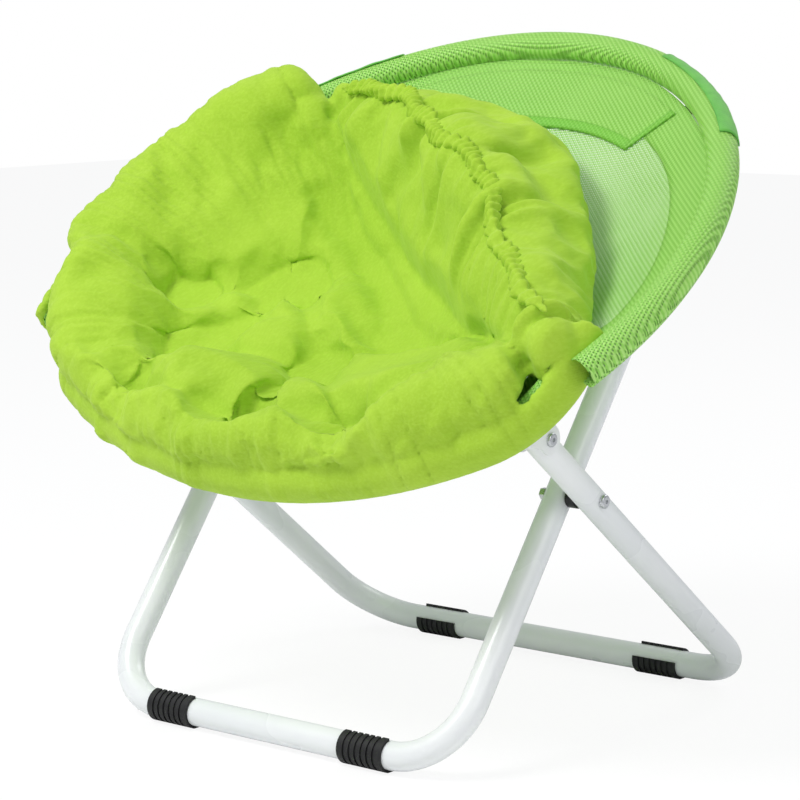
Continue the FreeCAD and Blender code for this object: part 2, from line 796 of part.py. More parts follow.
def fold_section(station):
    # Offset of a fold section's middle from the hoop's middle, its half width and its height
    share = (station - fold_start) / (fold_end - fold_start)
    swell = math.sin(math.pi * share)
    width = fold_end_width + fold_bulge * swell
    return fold_distance + fold_gap + width / 2.0, width / 2.0, fold_end_height + fold_rise * swell


def fold_place(station, offset):
    across = fold_normal[0] * offset + fold_normal[1] * station
    run = fold_normal[1] * offset - fold_normal[0] * station
    return across, run


def fold_stations():
    step = (fold_end - fold_start) / (fold_station_count - 1)
    return [fold_start + step * number for number in range(fold_station_count)]


def cushion_fold():
    # Peeled part of the cushion, doubled over into a ridge beside the pad
    foot = fold_foot_share
    rings = []
    for station in fold_stations():
        middle, half_width, height = fold_section(station)
        points = []
        for number in range(fold_points):
            angle = 2.0 * math.pi * number / fold_points
            across, run = fold_place(station, middle + half_width * math.cos(angle))
            lift = math.sin(angle)
            rise = foot + (1.0 - foot) * lift if 2 * number < fold_points else foot * (1.0 + lift)
            points.append(hoop_point(across, run, pad_base(across, run) + fold_lift + height * rise))
        rings.append(points)
    flat_rings = [levelled(rings[0])] + rings[1:-1] + [levelled(rings[-1])]
    return wrapped_solid(flat_rings)


def levelled(ring):
    # The ring's points moved into one plane square to the fold, so that a flat face closes it
    along = hoop_vector(fold_normal[1], -fold_normal[0], 0.0)
    middle = sum((point.dot(along) for point in ring)) / len(ring)
    return [point + along * (middle - point.dot(along)) for point in ring]


def elastic_hem():
    # Gathered elastic hem along the ridge of the fold
    rings = []
    for number, station in enumerate(fold_stations()[1:-1]):
        middle, half_width, height = fold_section(station)
        across, run = fold_place(station, middle)
        radius = hem_radius + (hem_ruffle if number % 2 else 0.0)
        level = pad_base(across, run) + fold_lift + height + hem_gap + hem_radius
        points = []
        for step in range(hem_points):
            angle = 2.0 * math.pi * step / hem_points
            side_across, side_run = fold_place(station, middle + radius * math.cos(angle))
            points.append(hoop_point(side_across, side_run, level + radius * math.sin(angle)))
        rings.append(points)
    return wrapped_solid(rings)


def save_side(name, side):
    # Everything that comes once on each side of the chair
    front_x = side * front_foot_half_spacing
    rear_x = side * rear_foot_half_spacing
    save("front_foot_" + name, foot_clip(front_x, front_bar_point, 90.0 - foot_slot_turn))
    save("rear_foot_" + name, foot_clip(rear_x, rear_bar_point, 90.0 + foot_slot_turn))
    tip = hook_end + Vector(side * front_leg_half_width, 0, 0)
    save("front_leg_tip_" + name, end_plug(tip, hook_way, tube_radius))
    top = seat_pivot + rear_leg_way * leg_top_overrun + Vector(side * rear_leg_half_width, 0, 0)
    save("rear_leg_plug_" + name, end_plug(top, rear_leg_way, tube_radius))
    outer_face = rear_leg_half_width + tube_radius
    inner_face = front_leg_half_width - tube_radius
    length = outer_face - inner_face + nut_height - thread_end
    bolt = dome_bolt(side * (outer_face + head_play), cross_point, side, length + head_play)
    save("cross_bolt_" + name, bolt)
    save("cross_nut_" + name, hex_nut(side * (inner_face - seat_play), cross_point, side, nut_height))
    spacer_start = front_leg_half_width + tube_radius
    spacer_end = spacer_start + leg_gap - spacer_play
    spacer = washer_between(side * spacer_start, side * spacer_end, cross_point, spacer_radius)
    save("cross_spacer_" + name, spacer)
    length = bracket_outer_face - bracket_inner_face + thin_nut_height - thread_end
    save("seat_bolt_" + name, dome_bolt(side * bracket_outer_face, seat_pivot, side, length))
    save("seat_nut_" + name, hex_nut(side * bracket_inner_face, seat_pivot, side, thin_nut_height))
    joint_out = joint_half_width + tube_radius - tube_wall
    joint_in = front_hoop_half_width - tube_radius
    pin_start = Vector(side * joint_out, joint_point.y, joint_point.z)
    length = joint_out - joint_in + joint_nut_height - thread_end
    save("hoop_joint_pin_" + name, Part.makeCylinder(bolt_radius, length, pin_start, Vector(-side, 0, 0)))
    nut = hex_nut(side * (joint_in - seat_play), joint_point, side, joint_nut_height)
    save("hoop_joint_nut_" + name, nut)
    washer_start = front_hoop_half_width + tube_radius
    washer_end = joint_half_width - tube_radius + joint_washer_seat
    washer = washer_between(side * washer_start, side * washer_end, joint_point, joint_washer_radius)
    washer = washer.cut(rear_hoop_tube(tube_radius, tube_radius / 2.0, rear_hoop_start))
    save("hoop_joint_washer_" + name, washer)
    degrees = rear_hoop_start if side > 0.0 else 180.0 - rear_hoop_start
    save("rear_hoop_plug_" + name, end_plug(on_hoop(degrees), hoop_tangent(degrees) * (-side), tube_radius))
    stub_end = arch_point(side * front_hoop_half_width, -front_hoop_stub)
    save("front_hoop_plug_" + name, end_plug(stub_end, drop_way * -1.0, tube_radius))
    save("mesh_patch_" + name, mesh_patch(side))


def build_all():
    os.makedirs("parts", exist_ok=True)
    save("front_leg_frame", front_leg_frame())
    save("rear_leg_frame", rear_leg_frame())
    save("rear_hoop", rear_hoop())
    save("front_hoop", front_hoop())
    brackets = []
    for name, side in sides.items():
        save_side(name, side)
        brackets.append(seat_bracket(side))
        save("seat_bracket_" + name, brackets[-1])
    save("mesh_rear_sleeve", mesh_rear_sleeve())
    sleeve = arch_sleeve(tube_radius + sleeve_gap, sleeve_thickness, front_sleeve_start)
    save("mesh_front_sleeve", cut_all(sleeve, brackets))
    save("mesh_seat", mesh_seat())
    save("mesh_headrest", headrest_panel())
    save("cushion_pad", cushion_pad())
    save("cushion_fold", cushion_fold())
    save("cushion_hem", elastic_hem())
    save("cushion_pocket_front", cut_all(arch_cloth(front_sleeve_start), brackets))
    pocket_left_end = 180.0 - sleeve_start
    for name, start, end in (("left", pocket_left_start, pocket_left_end), ("right", sleeve_start, pocket_right_end)):
        pocket = hoop_cloth(start, end, pocket_low, pocket_high, pocket_thickness)
        save("cushion_pocket_" + name, pocket)


build_all()
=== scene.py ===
"""Folding saucer chair: finishes, soft pieces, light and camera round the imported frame, in metres."""
import math

import bmesh
import bpy
from mathutils import Matrix, Vector, noise


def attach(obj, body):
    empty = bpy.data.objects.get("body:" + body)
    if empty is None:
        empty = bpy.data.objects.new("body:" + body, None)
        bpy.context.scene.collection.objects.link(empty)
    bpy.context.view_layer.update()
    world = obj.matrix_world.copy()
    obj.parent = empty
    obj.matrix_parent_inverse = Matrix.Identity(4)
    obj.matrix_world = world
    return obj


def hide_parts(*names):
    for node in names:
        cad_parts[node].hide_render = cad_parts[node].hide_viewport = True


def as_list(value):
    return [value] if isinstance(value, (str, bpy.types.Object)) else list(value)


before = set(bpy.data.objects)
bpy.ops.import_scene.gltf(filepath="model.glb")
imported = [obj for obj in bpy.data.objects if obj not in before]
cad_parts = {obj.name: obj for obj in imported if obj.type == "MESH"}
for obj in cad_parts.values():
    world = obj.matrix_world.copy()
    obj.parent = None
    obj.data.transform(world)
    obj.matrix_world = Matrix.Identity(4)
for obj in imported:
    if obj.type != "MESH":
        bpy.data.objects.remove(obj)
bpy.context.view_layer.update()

# The round frame: its middle, lean and bends
tube_radius = 0.0125
sleeve_radius = 0.014
hoop_radius = 0.3263
hoop_middle = Vector((0.0, -0.04494, 0.4148))
lean = math.radians(34.2)
joint_forward = 0.0924
front_gap = 0.007
front_depth = 0.149
front_side_radius = 0.105
front_drop = math.radians(19.9)
front_sleeve_depth = 0.026
sleeve_start = -21.7

# The hanging mesh
mesh_sag = 0.086
bend_softness = 0.008
border_width = 0.042
border_steps = 8
headrest_low = 0.246
headrest_half_angle = 39.0
headrest_hem = 0.010
headrest_top_gap = 0.010
headrest_flare = 0.13
headrest_curve = 0.006
headrest_side_hem_turn = 0.030
patch_start = 33.0
patch_end = 62.0
patch_low = -22.0
patch_high = 80.0
patch_wall = 0.0016
patch_pucker_depth = 0.0008
patch_pucker_length = 0.012

# Each layer's height over the hanging mesh's underside, and its wall
mesh_tuck = 0.0136
mesh_layer = 0.0005
border_layer = 0.0014
headrest_layer = 0.0024
hem_layer = 0.0033
mesh_wall = 0.0007
border_wall = 0.0006
hem_wall = 0.0008
sleeve_wall = 0.0010
mesh_rounds = 168
yarn_pitch = 0.0026
cotton_threads = 5200.0
weld = 0.00001

# The cushion
tufts = [(-0.135, 0.030), (-0.025, -0.085), (-0.163, -0.094), (-0.153, -0.189), (-0.020, -0.190),
         (0.095, -0.180), (-0.215, -0.030)]
tuft_links = [(0, 1), (0, 2), (1, 2), (2, 3), (1, 4), (3, 4), (4, 5), (1, 5), (0, 6), (2, 6)]
fold_angle = math.radians(53.5)
fold_distance = 0.0526
fold_start = -0.282
fold_end = 0.243
fold_bulge = 0.084
fold_end_width = 0.036
fold_end_height = 0.044
fold_span = 0.56
fold_spread = 0.50
fold_stretch = 0.055
stretch_start = 0.10
roll_start = 148.0
roll_inner = 0.0136
roll_outer = 0.0214
roll_low = -150.0
roll_high = 75.0
roll_steps = 16
roll_step_length = 0.006
corner_lump = 0.027
corner_across = 0.262
corner_depth = 0.004
corner_rise = 0.022
front_roll_overrun = 0.018
bowl_thinning = 0.60

# The cushion's surface: depths and how far each reaches
stitch_pit, stitch_pit_reach = 0.019, 0.011
stitch_dip, stitch_dip_reach = 0.008, 0.035
stitch_pleat, stitch_pleat_reach = 0.0042, 0.038
valley_line, valley_line_reach = 0.0075, 0.010
valley_dip, valley_dip_reach = 0.006, 0.030
fine_gather, fine_gather_reach = 0.0055, 0.026
broad_gather, broad_gather_reach = 0.0150, 0.085
broad_lump, small_lump = 0.0050, 0.0018
rim_pucker, rim_pleat = 0.0060, 0.0030
hem_radius, hem_pleat, hem_knot, hem_ripple = 0.0058, 0.0016, 0.0024, 0.0012
hem_pleat_length = 0.0085

# The simulation and the skin
puff_voxel = 0.005
puff_limit = 0.013
puff_frames = 18
voxel = 0.0034
smoothings = 3

run_way = Vector((0.0, math.cos(lean), math.sin(lean)))
up_way = Vector((0.0, -math.sin(lean), math.cos(lean)))
across_way = Vector((1.0, 0.0, 0.0))
joint_half_width = math.sqrt(hoop_radius ** 2 - joint_forward ** 2)
front_half_width = joint_half_width - 2.0 * tube_radius - front_gap


def on_ring(across, run, rise):
    return hoop_middle + across_way * across + run_way * run + up_way * rise


def in_ring(place):
    offset = place - hoop_middle
    return offset.x, offset.dot(run_way), offset.dot(up_way)


def on_hoop(angle):
    return on_ring(hoop_radius * math.cos(angle), hoop_radius * math.sin(angle), 0.0)


def smooth_step(low, high, value):
    share = min(max((value - low) / (high - low), 0.0), 1.0)
    return share * share * (3.0 - 2.0 * share)


# The front half of the rim is a three-centred arch
arch_inset = front_half_width - front_side_radius
arch_crown = arch_inset ** 2 + front_depth ** 2 - front_side_radius ** 2
arch_crown = arch_crown / (2.0 * (front_depth - front_side_radius))
arch_turn = math.atan2(arch_crown - front_depth, arch_inset)
drop_way = -run_way * math.cos(front_drop) - up_way * math.sin(front_drop)
arch_axis = across_way.cross(drop_way)


def arch_point(across, depth):
    return on_ring(across, -joint_forward, 0.0) + drop_way * depth


def arch_depth(across, margin):
    width = abs(across)
    if width > arch_inset + (front_side_radius - margin) * math.cos(arch_turn):
        return math.sqrt(max((front_side_radius - margin) ** 2 - (width - arch_inset) ** 2, 0.0))
    return math.sqrt((arch_crown - margin) ** 2 - width ** 2) - (arch_crown - front_depth)


def inside_rim(across, run, margin):
    depth = (-joint_forward - run) / math.cos(front_drop)
    side_limit = front_half_width - margin
    if depth > 0.0:
        return abs(across) < side_limit and depth < arch_depth(across, margin)
    blend = smooth_step(0.0, 1.0, (-depth - 0.0155) / 0.045)
    circle = math.sqrt(max((hoop_radius - margin) ** 2 - run ** 2, 0.0))
    return abs(across) < side_limit + (circle - side_limit) * blend


reaches = {}


def rim_reach(angle, margin):
    key = (round(angle, 4), margin)
    if key not in reaches:
        low, high = 0.0, hoop_radius
        while high - low > 0.00005:
            radius = (low + high) / 2.0
            if inside_rim(radius * math.cos(angle), radius * math.sin(angle), margin):
                low = radius
            else:
                high = radius
        reaches[key] = low
    return reaches[key]


def rim_height(run):
    forward = (-joint_forward - run) / bend_softness
    return -math.tan(front_drop) * bend_softness * math.log(1.0 + math.exp(forward))


def mesh_height(across, run):
    run_reach = hoop_radius if run > 0.0 else joint_forward + front_depth * math.cos(front_drop)
    share = min(math.hypot(across / hoop_radius, run / run_reach), 1.0)
    return rim_height(run) * share ** 4 - mesh_sag * (1.0 - share ** 2)


class Value:
    """A number socket that takes part in sums and products by adding Math nodes."""

    def __init__(self, finish, socket):
        self.finish = finish
        self.socket = socket

    def sum_with(self, operation, *others):
        inputs = {number: other for number, other in enumerate(others)}
        made = self.finish.node("ShaderNodeMath", {"operation": operation}, inputs)
        return Value(self.finish, made.outputs[0])

    def __add__(self, other):
        return self.sum_with("ADD", self, other)

    def __rsub__(self, other):
        return self.sum_with("SUBTRACT", other, self)

    def __mul__(self, other):
        return self.sum_with("MULTIPLY", self, other)

    def sine(self):
        return self.sum_with("SINE", self)

    def ramp(self, low, high, at_low=0.0, at_high=1.0):
        settings = {"interpolation_type": "SMOOTHSTEP"}
        inputs = {0: self, 1: low, 2: high, 3: at_low, 4: at_high}
        return Value(self.finish, self.finish.node("ShaderNodeMapRange", settings, inputs).outputs[0])


class Finish:
    """One material, with a Principled shader and helpers for its pattern."""

    def __init__(self, name, **uniform):
        self.material = bpy.data.materials.new(name)
        self.material.use_nodes = True
        self.tree = self.material.node_tree
        self.tree.nodes.clear()
        output = self.tree.nodes.new("ShaderNodeOutputMaterial")
        self.shader = self.tree.nodes.new("ShaderNodeBsdfPrincipled")
        self.tree.links.new(self.shader.outputs[0], output.inputs["Surface"])
        for key, value in uniform.items():
            self.shader.inputs[key.replace("_", " ")].default_value = value

    def node(self, kind, settings=None, inputs=None):
        made = self.tree.nodes.new(kind)
        for key, value in (settings or {}).items():
            setattr(made, key, value)
        for key, value in (inputs or {}).items():
            socket = made.inputs[key]
            if isinstance(value, Value):
                self.tree.links.new(value.socket, socket)
            elif isinstance(value, bpy.types.NodeSocket):
                self.tree.links.new(value, socket)
            else:
                socket.default_value = value
        return made

    def place(self, turn=(0.0, 0.0, 0.0), scale=(1.0, 1.0, 1.0)):
        here = self.node("ShaderNodeTexCoord").outputs["Object"]
        return self.node("ShaderNodeMapping", {"vector_type": "POINT"},
                         {"Vector": here, "Rotation": turn, "Scale": scale}).outputs[0]

    def axes(self, vector):
        split = self.node("ShaderNodeSeparateXYZ", None, {0: vector})
        return [Value(self, split.outputs[number]) for number in range(3)]

    def cloud(self, vector, scale, detail=3.0, roughness=0.5):
        made = self.node("ShaderNodeTexNoise", None,
                         {"Vector": vector, "Scale": scale, "Detail": detail, "Roughness": roughness})
        return Value(self, made.outputs["Factor" if "Factor" in made.outputs else "Fac"])

    def blend(self, share, first, second):
        made = self.node("ShaderNodeMix", {"data_type": "RGBA"}, {"Factor": share})
        for socket, tone in ((made.inputs[6], first), (made.inputs[7], second)):
            if isinstance(tone, bpy.types.NodeSocket):
                self.tree.links.new(tone, socket)
            else:
                socket.default_value = tone
        return made.outputs[2]

    def feed(self, name, value):
        self.tree.links.new(value.socket if isinstance(value, Value) else value, self.shader.inputs[name])

    def bump(self, height, strength, distance):
        settings = {"Height": height, "Strength": strength, "Distance": distance}
        made = self.node("ShaderNodeBump", None, settings)
        self.feed("Normal", made.outputs[0])


def colour(red, green, blue):
    """A colour given in screen values, as a linear one."""
    parts = [value / 255.0 for value in (red, green, blue)]
    linear = [part / 12.92 if part < 0.04045 else ((part + 0.055) / 1.055) ** 2.4 for part in parts]
    return tuple(linear) + (1.0,)


def lime_cotton():
    finish = Finish("lime_cotton", Roughness=0.88, Sheen_Weight=0.25, Sheen_Roughness=0.5)
    finish.shader.inputs["Sheen Tint"].default_value = colour(225, 240, 150)
    here = finish.place()
    broad = finish.cloud(here, 9.0, 4.0)
    threads_x, threads_y, threads_z = finish.axes(finish.place((0.3, 0.2, 0.6)))
    thread = (threads_x * cotton_threads).sine() * (threads_y * cotton_threads).sine() * 0.5
    thread = thread + (threads_z * cotton_threads).sine() * 0.5
    slub = finish.cloud(finish.place((0.0, 0.4, 0.8), (1.0, 0.12, 1.0)), 420.0, 2.0)
    base = finish.blend(broad.ramp(0.3, 0.7), colour(160, 200, 42), colour(172, 210, 54))
    finish.feed("Base Color", finish.blend(slub.ramp(0.35, 0.75, 0.0, 0.35), base, colour(188, 222, 84)))
    finish.feed("Roughness", slub.ramp(0.2, 0.8, 0.8, 0.95))
    crumple = finish.cloud(here, 38.0, 3.0, 0.55)
    finish.bump(crumple * 0.0022 + slub * 0.00022 + thread * 0.00006, 1.0, 1.0)
    return finish.material


def mesh_cloth(name, light, dark, hole, shine=0.0):
    """Coated yarns woven square to the rim's plane, with a hole in the middle of each cell."""
    finish = Finish(name, Roughness=0.55, Specular_IOR_Level=0.35)
    pitch = 2.0 * math.pi / yarn_pitch
    across, run, rise = finish.axes(finish.place((-lean, 0.0, 0.0)))
    wander = finish.cloud(finish.place(), 30.0, 2.0) * 0.4
    warp = (across * pitch + wander).sine()
    weft = (run * pitch + wander).sine()
    over = (across * (pitch / 2.0)).sine() * (run * (pitch / 2.0)).sine()
    opening = (warp * 0.5 + 0.5) * (weft * 0.5 + 0.5)
    yarn = finish.blend(over.ramp(-0.6, 0.6), dark, light)
    # Painted sheen: random patches of yarn are lightened towards the light colour, by up to the share shine
    painted_sheen = finish.cloud(finish.place(), 14.0).ramp(0.35, 0.7, 0.0, shine)
    finish.feed("Base Color", finish.blend(painted_sheen, yarn, light))
    if hole < 1.0:
        finish.feed("Alpha", opening.ramp(hole - 0.06, hole + 0.06, 1.0, 0.0))
    finish.feed("Roughness", over.ramp(-0.8, 0.8, 0.6, 0.42))
    finish.bump((1.0 - opening) * 0.0003 + over * 0.0002, 1.0, 1.0)
    return finish.material


def patch_cloth():
    finish = Finish("green_patch_cloth", Roughness=0.7, Sheen_Weight=0.15)
    here = finish.place((-lean, 0.0, 0.0))
    across, run, rise = finish.axes(here)
    rib = ((across + run) * 4200.0).sine()
    shade = finish.cloud(here, 60.0, 3.0)
    finish.feed("Base Color", finish.blend(shade.ramp(0.3, 0.7), colour(96, 184, 66), colour(112, 198, 78)))
    finish.feed("Roughness", shade.ramp(0.2, 0.8, 0.62, 0.8))
    finish.bump(rib * 0.00012 + shade * 0.0004, 1.0, 1.0)
    return finish.material


def white_paint():
    finish = Finish("white_steel", Specular_IOR_Level=0.5, Coat_Roughness=0.2)
    here = finish.place()
    orange_peel = finish.cloud(here, 900.0, 2.0)
    tone = finish.cloud(here, 7.0, 3.0)
    shade, light = colour(236, 238, 240), colour(243, 244, 245)
    finish.feed("Base Color", finish.blend(tone.ramp(0.35, 0.7), shade, light))
    finish.feed("Roughness", tone.ramp(0.3, 0.7, 0.24, 0.34))
    finish.shader.inputs["Coat Weight"].default_value = 0.35
    finish.bump(orange_peel * 0.00006, 1.0, 1.0)
    return finish.material


def dark_moulding(name, tone, low_rough, high_rough):
    finish = Finish(name, Specular_IOR_Level=0.4)
    here = finish.place()
    grain = finish.cloud(here, 1400.0, 2.0)
    dust = finish.cloud(here, 45.0, 4.0)
    clean, dusty = colour(tone, tone, tone + 1), colour(tone + 16, tone + 16, tone + 17)
    finish.feed("Base Color", finish.blend(dust.ramp(0.45, 0.8), clean, dusty))
    finish.feed("Roughness", dust.ramp(0.3, 0.7, low_rough, high_rough))
    finish.bump(grain * 0.00008, 1.0, 1.0)
    return finish.material


def zinc_plate():
    finish = Finish("zinc_steel", Metallic=1.0)
    here = finish.place((0.0, 0.0, 0.0), (1.0, 6.0, 6.0))
    brushed = finish.cloud(here, 300.0, 3.0)
    shade, light = colour(188, 190, 194), colour(216, 218, 220)
    finish.feed("Base Color", finish.blend(brushed.ramp(0.3, 0.7), shade, light))
    finish.feed("Roughness", brushed.ramp(0.2, 0.8, 0.2, 0.38))
    finish.bump(brushed * 0.00003, 1.0, 1.0)
    return finish.material


cotton = lime_cotton()
mesh_single = mesh_cloth("green_mesh", colour(200, 240, 160), colour(168, 226, 116), 0.24, 0.5)
mesh_double = mesh_cloth("green_mesh_border", colour(180, 232, 122), colour(142, 210, 82), 0.52, 0.2)
mesh_hem = mesh_cloth("green_mesh_hem", colour(140, 206, 82), colour(118, 190, 62), 1.0)
patch_green = patch_cloth()
white = white_paint()
rubber = dark_moulding("black_rubber", 26, 0.5, 0.7)
plastic = dark_moulding("black_plastic", 22, 0.34, 0.5)
zinc = zinc_plate()

finish_words = [(rubber, ["foot"]), (plastic, ["plug", "tip", "spacer"]),
                (zinc, ["bolt", "nut", "washer", "pin"])]

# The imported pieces: each takes its finish from a word in its name, and the tubes and brackets are white
for name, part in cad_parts.items():
    chosen = [finish for finish, words in finish_words if any(word in name for word in words)]
    part.data.materials.clear()
    part.data.materials.append(chosen[0] if chosen else white)


def make_piece(name, shape, finish, slot, *stands_for):
    bmesh.ops.recalc_face_normals(shape, faces=shape.faces)
    mesh = bpy.data.meshes.new(name)
    shape.to_mesh(mesh)
    shape.free()
    mesh.polygons.foreach_set("use_smooth", [True] * len(mesh.polygons))
    mesh.materials.append(finish)
    made = bpy.data.objects.new(name, mesh)
    bpy.context.scene.collection.objects.link(made)
    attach(made, "seat")
    if stands_for:
        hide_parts(*stands_for)
    return made


def thicken(made, thickness, offset=0.0):
    wall = made.modifiers.new("wall", "SOLIDIFY")
    wall.thickness = thickness
    wall.offset = offset
    wall.use_rim = True
    return made


def spun_band(inner, outer, steps, first, turn, round_steps):
    """A flat band in the unit disc, spun from a radial line, for a rule to shape afterwards."""
    shape = bmesh.new()
    line = [shape.verts.new((inner + (outer - inner) * step / steps, 0.0, 0.0)) for step in range(steps + 1)]
    edges = [shape.edges.new(pair) for pair in zip(line, line[1:])]
    aside = Matrix.Rotation(math.radians(first), 3, "Z")
    bmesh.ops.rotate(shape, verts=shape.verts, cent=(0, 0, 0), matrix=aside)
    full = abs(turn - 360.0) < 0.01
    bmesh.ops.spin(shape, geom=line + edges, cent=(0, 0, 0), axis=(0, 0, 1), angle=math.radians(turn),
                   steps=round_steps, use_merge=full)
    bmesh.ops.remove_doubles(shape, verts=shape.verts, dist=weld)
    return shape


def hang(shape, place):
    """Each point of a spun band goes to its place on the mesh: place takes its angle and radius."""
    for point in shape.verts:
        radius = math.hypot(point.co.x, point.co.y)
        point.co = place(math.atan2(point.co.y, point.co.x), radius)


def mesh_place(angle, radius, lift):
    across = radius * math.cos(angle)
    run = radius * math.sin(angle)
    pull = 0.0009 * math.sin(9.0 * angle + 14.0 * radius) * smooth_step(0.08, 0.26, radius)
    return on_ring(across, run, mesh_height(across, run) + lift + pull)


def seat_mesh():
    shape = spun_band(0.0, 1.0, 44, 0.0, 360.0, mesh_rounds)
    hang(shape, lambda angle, share: mesh_place(angle, rim_reach(angle, mesh_tuck) * share, mesh_layer))
    return thicken(make_piece("seat_mesh", shape, mesh_single, "green_mesh", "mesh_seat"), mesh_wall)


def mesh_border():
    shape = spun_band(0.0, 1.0, border_steps, 0.0, 360.0, mesh_rounds)
    for point in list(shape.verts):
        if point.co.length < 0.01:
            shape.verts.remove(point)
    innermost = 1.0 / border_steps

    def rule(angle, share):
        inward = border_width * (1.0 - (share - innermost) / (1.0 - innermost))
        return mesh_place(angle, rim_reach(angle, mesh_tuck) - inward, border_layer)
    hang(shape, rule)
    return thicken(make_piece("mesh_border", shape, mesh_double, "green_mesh_border"), border_wall)


def headrest():
    """The second layer at the top of the back, with a darker hem along its lower edge and its sides."""
    half = math.radians(headrest_half_angle)
    low, high = headrest_low, rim_reach(math.pi / 2.0, mesh_tuck) - headrest_top_gap
    turn = 2.0 * headrest_half_angle

    def panel_rule(angle, share):
        spread = angle - math.pi / 2.0
        flare = 1.0 - headrest_flare * (1.0 - share)
        radius = low + (high - low) * share + headrest_curve * (1.0 - share) * (spread / half) ** 2
        return mesh_place(math.pi / 2.0 + spread * flare, radius, headrest_layer)

    def hem_rule(angle, share):
        spread = angle - math.pi / 2.0
        radius = low + headrest_hem * share + headrest_curve * (spread / half) ** 2
        return mesh_place(math.pi / 2.0 + spread * (1.0 - headrest_flare), radius, hem_layer)

    def side_rule(side):
        def rule(angle, share):
            spread = side * (half - angle / math.radians(10.0) * headrest_side_hem_turn)
            flare = 1.0 - headrest_flare * (1.0 - share)
            radius = low + (high - low) * share + headrest_curve * (1.0 - share)
            return mesh_place(math.pi / 2.0 + spread * flare, radius, hem_layer)
        return rule
    first = 90.0 - headrest_half_angle
    shape = spun_band(0.001, 1.0, 14, first, turn, 60)
    hang(shape, panel_rule)
    made = make_piece("headrest_panel", shape, mesh_double, "green_mesh_border", "mesh_headrest")
    panel = thicken(made, mesh_wall)
    hems = [("headrest_hem", spun_band(0.001, 1.0, 3, first, turn, 60), hem_rule)]
    for side, name in ((-1.0, "headrest_side_hem_right"), (1.0, "headrest_side_hem_left")):
        hems.append((name, spun_band(0.001, 1.0, 14, 0.0, 10.0, 3), side_rule(side)))
    strips = []
    for name, shape, rule in hems:
        hang(shape, rule)
        strips.append(thicken(make_piece(name, shape, mesh_hem, "green_mesh_border"), hem_wall))
    return panel, strips


def rib_section(shape, centre, out, up, radius, low, high, steps):
    """An open or closed arc of points round a place on the rim, ready to be spun along it."""
    points = []
    for step in range(steps + 1 if high - low < 359.0 else steps):
        points.append(section_point(shape, centre, out, up, radius, low + (high - low) * step / steps))
    edges = [shape.edges.new(pair) for pair in zip(points, points[1:])]
    if high - low > 359.0:
        edges.append(shape.edges.new((points[-1], points[0])))
    return points + edges


def rear_cloth(start, end, radius, low=0.0, high=360.0, section_steps=20, step_length=0.006):
    shape = bmesh.new()
    angle = math.radians(start)
    centre = on_hoop(angle)
    out = across_way * math.cos(angle) + run_way * math.sin(angle)
    section = rib_section(shape, centre, out, up_way, radius, low, high, section_steps)
    turn = math.radians(end - start)
    bmesh.ops.spin(shape, geom=section, cent=on_ring(0.0, 0.0, 0.0), axis=up_way, angle=turn,
                   steps=int(turn * hoop_radius / step_length), use_merge=False)
    bmesh.ops.remove_doubles(shape, verts=shape.verts, dist=weld)
    return shape


def front_cloth(start_depth, radius):
    shape = bmesh.new()
    first = math.asin(start_depth / front_side_radius)
    centre = arch_point(-(arch_inset + front_side_radius * math.cos(first)), start_depth)
    out = -across_way * math.cos(first) + drop_way * math.sin(first)
    geometry = rib_section(shape, centre, out, -arch_axis, radius, 0.0, 360.0, 20)
    for middle, turn, steps in arch_spans(first):
        turned = bmesh.ops.spin(shape, geom=geometry, cent=middle, axis=-arch_axis, angle=turn, steps=steps,
                                use_merge=False)
        geometry = turned["geom_last"]
    bmesh.ops.remove_doubles(shape, verts=shape.verts, dist=weld)
    return shape


def section_point(shape, centre, out, up, radius, degrees):
    turn = math.radians(degrees)
    return shape.verts.new(centre + out * (radius * math.cos(turn)) + up * (radius * math.sin(turn)))


def roll_section(shape, centre, out, up):
    """A closed crescent round the rim's section, ready to be spun along it."""
    points = []
    for radius, first, last in ((roll_outer, roll_low, roll_high), (roll_inner, roll_high, roll_low)):
        for step in range(roll_steps + 1):
            degrees = first + (last - first) * step / roll_steps
            points.append(section_point(shape, centre, out, up, radius, degrees))
    return points + [shape.edges.new(pair) for pair in zip(points, points[1:] + points[:1])]


def straight_on(shape, geometry, step):
    edges = [item for item in geometry if isinstance(item, bmesh.types.BMEdge)]
    grown = bmesh.ops.extrude_edge_only(shape, edges=edges)["geom"]
    corners = [item for item in grown if isinstance(item, bmesh.types.BMVert)]
    bmesh.ops.translate(shape, verts=corners, vec=step)
    return [item for item in grown if not isinstance(item, bmesh.types.BMFace)]


def cushion_roll(shape):
    """The cushion's pocket that wraps the rim: on the left of the rear hoop, and all round the front one."""
    angle = math.radians(roll_start)
    centre = on_hoop(angle)
    out = across_way * math.cos(angle) + run_way * math.sin(angle)
    section = roll_section(shape, centre, out, up_way)
    turn = math.radians(180.0 - sleeve_start - roll_start)
    bmesh.ops.spin(shape, geom=section, cent=on_ring(0.0, 0.0, 0.0), axis=up_way, angle=turn,
                   steps=int(turn * hoop_radius / roll_step_length), use_merge=False)
    centre = arch_point(-front_half_width, -front_roll_overrun)
    section = roll_section(shape, centre, -across_way, -arch_axis)
    geometry = straight_on(shape, section, drop_way * front_roll_overrun)
    for middle, turn, steps in arch_spans(0.0):
        geometry = bmesh.ops.spin(shape, geom=geometry, cent=middle, axis=-arch_axis, angle=turn, steps=steps,
                                  use_merge=False)["geom_last"]
    straight_on(shape, geometry, -drop_way * front_roll_overrun)
    bmesh.ops.remove_doubles(shape, verts=shape.verts, dist=weld)
    rims = [edge for edge in shape.edges if edge.is_boundary]
    bmesh.ops.holes_fill(shape, edges=rims, sides=0)
    corner = arch_point(corner_across, corner_depth) - arch_axis * corner_rise
    bmesh.ops.create_icosphere(shape, subdivisions=3, radius=corner_lump, matrix=Matrix.Translation(corner))
    bmesh.ops.recalc_face_normals(shape, faces=shape.faces)


